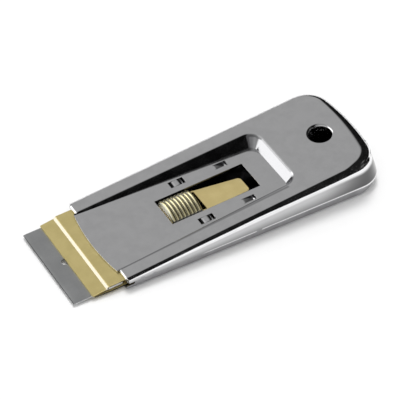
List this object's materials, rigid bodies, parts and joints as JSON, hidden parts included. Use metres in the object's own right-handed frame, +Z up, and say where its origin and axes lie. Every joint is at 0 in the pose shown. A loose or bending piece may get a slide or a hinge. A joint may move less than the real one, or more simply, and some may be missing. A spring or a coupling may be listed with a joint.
{
  "type": "retractable hob scraper",
  "caption": "Flat wedge-shaped sheet-metal hob scraper with a retracting single-edge blade, a thumb recess and a ribbed sliding button.",
  "frame": {"origin": "centre of the bounding box's bottom, on the flat lower face that lies on the table", "axes": "+X from the blade's edge to the handle end, +Z up out of the thumb recess"},
  "size_m": [0.1282, 0.044, 0.0171],
  "materials": {
    "plated_shell": "polished plating",
    "plated_tray": "polished plating",
    "gold_plate": "yellow zinc plating, satin",
    "gold_leaf": "yellow zinc plating, satin",
    "gold_button": "yellow zinc plating, polished",
    "blade_steel": "dull ground steel"
  },
  "bodies": {
    "housing": {"top_shell": "plated_shell", "bottom_shell": "plated_tray", "guide_bridge": "plated_shell"},
    "carrier": {"carrier_plate": "gold_plate", "backing_plate": "gold_plate", "carrier_rivet_left": "gold_plate", "carrier_rivet_right": "gold_plate", "blade": "blade_steel", "blade_spine": "blade_steel", "leaf_rivet": "gold_plate"},
    "press": {"spring_leaf": "gold_leaf", "thumb_button": "gold_button"}
  },
  "joints": [
    {"name": "blade_slide", "type": "slide", "parent": "housing", "child": "carrier", "axis": [0.9985, 0, 0.0541], "range_m": [0, 0.023]},
    {"name": "button_press", "type": "hinge", "parent": "carrier", "child": "press", "pos_m": [-0.02825, 0, 0.00466], "axis": [0, 1, 0], "range_deg": [0, 4], "stiffness_Nm_per_rad": 0.2, "springref_deg": -2.86}
  ]
}
